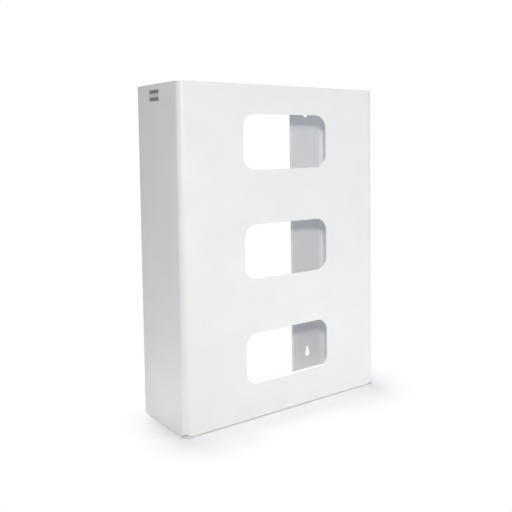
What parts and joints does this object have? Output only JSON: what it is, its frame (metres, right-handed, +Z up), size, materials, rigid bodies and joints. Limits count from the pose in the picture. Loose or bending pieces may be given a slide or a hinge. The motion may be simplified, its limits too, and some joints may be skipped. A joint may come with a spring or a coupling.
{
  "type": "disposable glove dispenser",
  "caption": "Wall-hung open-topped dispenser for stacked glove boxes, folded from white steel sheet, with rounded windows in front and keyholed rear flanges.",
  "frame": {"origin": "centre of the footprint, on the underside of the floor", "axes": "+X across the front, to the right as a user faces it; +Y back to the wall, so the windows face -Y; +Z up"},
  "size_m": [0.2794, 0.1016, 0.381],
  "materials": {
    "powder_coat": "satin"
  },
  "bodies": {
    "root": {"dispenser_body": "powder_coat"}
  },
  "joints": []
}
